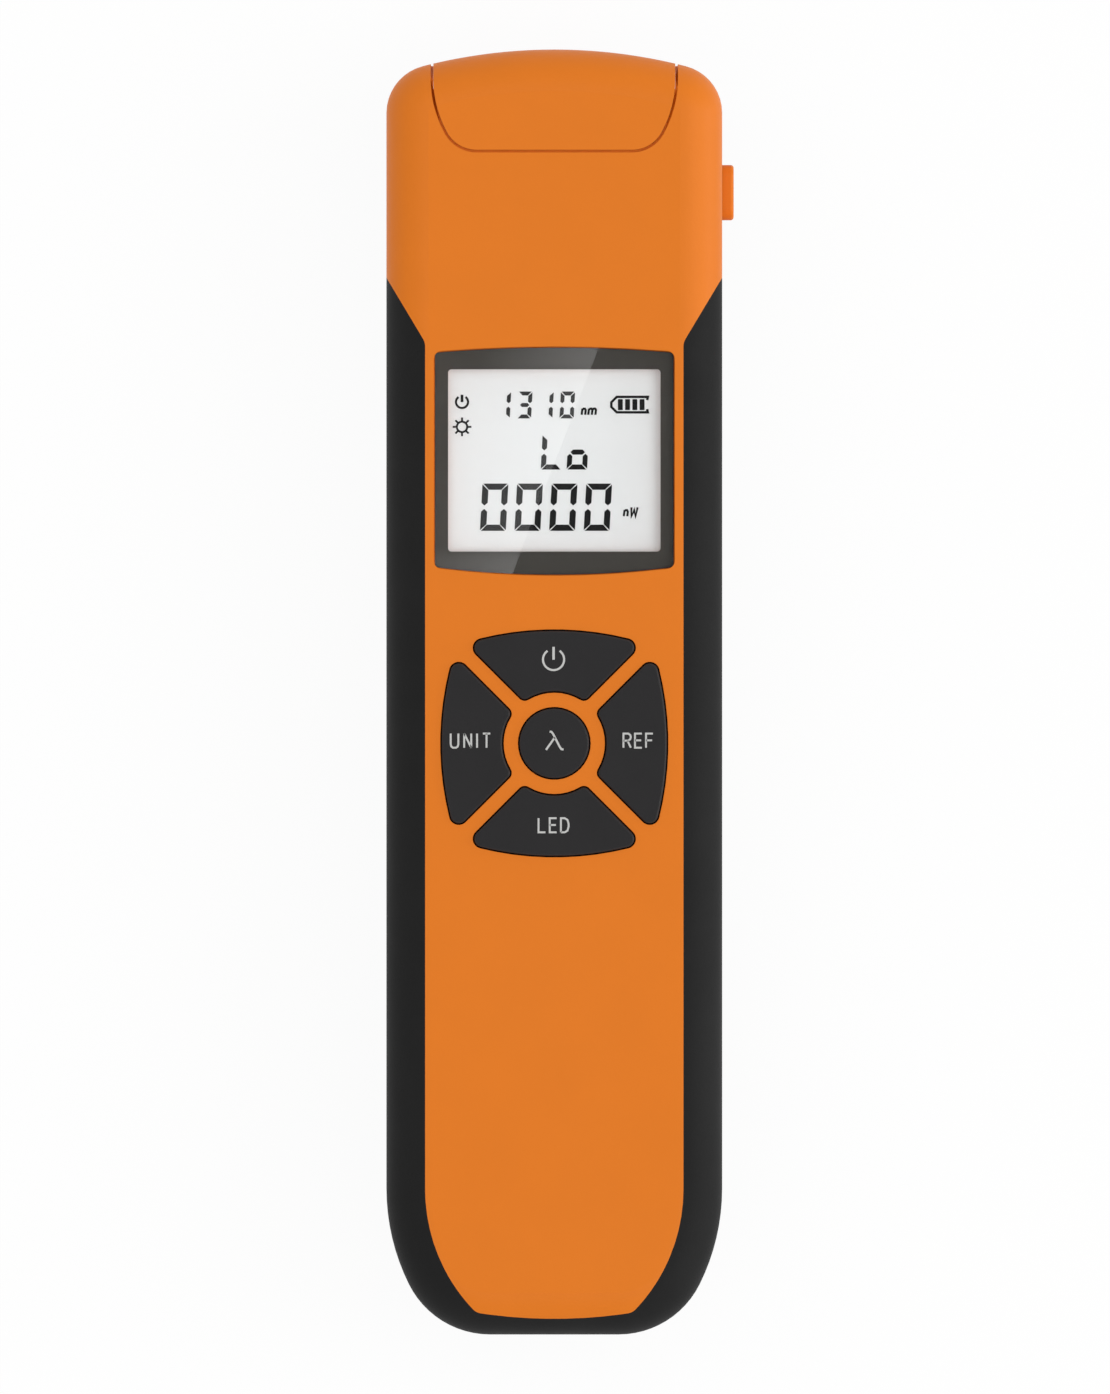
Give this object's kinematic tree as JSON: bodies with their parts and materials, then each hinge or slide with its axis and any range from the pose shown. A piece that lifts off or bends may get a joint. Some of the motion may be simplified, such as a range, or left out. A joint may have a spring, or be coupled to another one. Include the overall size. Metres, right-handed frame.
{
  "type": "optical power meter",
  "caption": "Slim handheld optical power meter with a display, ring keypad, side key, sliding battery door and a flip cover over its ferrule ports.",
  "frame": {"origin": "on the flat back, midway along the length and width of the body's silhouette", "axes": "+X to the meter's right side, +Y towards its head, +Z out of its front face"},
  "size_m": [0.0461, 0.1704, 0.0269],
  "materials": {
    "orange_shell": "fine moulded texture",
    "soft_black": "soft-touch overmould",
    "black_shell": "fine moulded texture",
    "key_plastic": "smooth satin",
    "display_lens": "clear acrylic",
    "lcd": "pale liquid-crystal panel",
    "backlight": "white diffuser",
    "board": "green solder mask",
    "switch_plastic": "moulded",
    "nickel": "nickel plated",
    "steel": "zinc plated",
    "brass": "turned",
    "sensor_can": "plated can",
    "clear_lamp": "clear epoxy",
    "cell_jacket": "plain jacket"
  },
  "bodies": {
    "meter": {"aaa_cell_1": "cell_jacket", "aaa_cell_2": "cell_jacket", "aaa_cell_3": "cell_jacket", "backlight": "backlight", "board_screws": "steel", "case_screws": "steel", "contact_plates": "steel", "contact_springs": "steel", "detector_adapter": "nickel", "detector_barrel": "nickel", "display_lens": "display_lens", "fault_locator_port": "nickel", "front_shell": "orange_shell", "grip_band": "soft_black", "hinge_pin": "steel", "key_domes": "steel", "laser_module": "brass", "lcd_cell": "lcd", "main_board": "board", "photodiode": "sensor_can", "rear_shell": "black_shell", "side_switch": "switch_plastic", "torch_lamp": "clear_lamp"},
    "power_key_body": {"power_key": "key_plastic"},
    "unit_key_body": {"unit_key": "key_plastic"},
    "led_key_body": {"led_key": "key_plastic"},
    "reference_key_body": {"reference_key": "key_plastic"},
    "wavelength_key_body": {"wavelength_key": "key_plastic"},
    "cover": {"flip_cover": "orange_shell"},
    "side_key_body": {"side_key": "orange_shell"},
    "door": {"battery_door": "black_shell"}
  },
  "joints": [
    {"name": "cover_hinge", "type": "hinge", "parent": "meter", "child": "cover", "pos_m": [0, 0.07955, 0.0056], "axis": [-1, 0, 0], "range_deg": [0, 120]},
    {"name": "door_slide", "type": "slide", "parent": "meter", "child": "door", "axis": [0, -1, 0], "range_m": [0, 0.062]},
    {"name": "side_key_press", "type": "slide", "parent": "meter", "child": "side_key_body", "axis": [-1, 0, 0], "range_m": [0, 0.0008], "stiffness_N_per_m": 2000},
    {"name": "power_key_press", "type": "slide", "parent": "meter", "child": "power_key_body", "axis": [0, 0, -1], "range_m": [0, 0.0006], "stiffness_N_per_m": 2500},
    {"name": "unit_key_press", "type": "slide", "parent": "meter", "child": "unit_key_body", "axis": [0, 0, -1], "range_m": [0, 0.0006], "stiffness_N_per_m": 2500},
    {"name": "led_key_press", "type": "slide", "parent": "meter", "child": "led_key_body", "axis": [0, 0, -1], "range_m": [0, 0.0006], "stiffness_N_per_m": 2500},
    {"name": "reference_key_press", "type": "slide", "parent": "meter", "child": "reference_key_body", "axis": [0, 0, -1], "range_m": [0, 0.0006], "stiffness_N_per_m": 2500},
    {"name": "wavelength_key_press", "type": "slide", "parent": "meter", "child": "wavelength_key_body", "axis": [0, 0, -1], "range_m": [0, 0.0006], "stiffness_N_per_m": 2500}
  ]
}
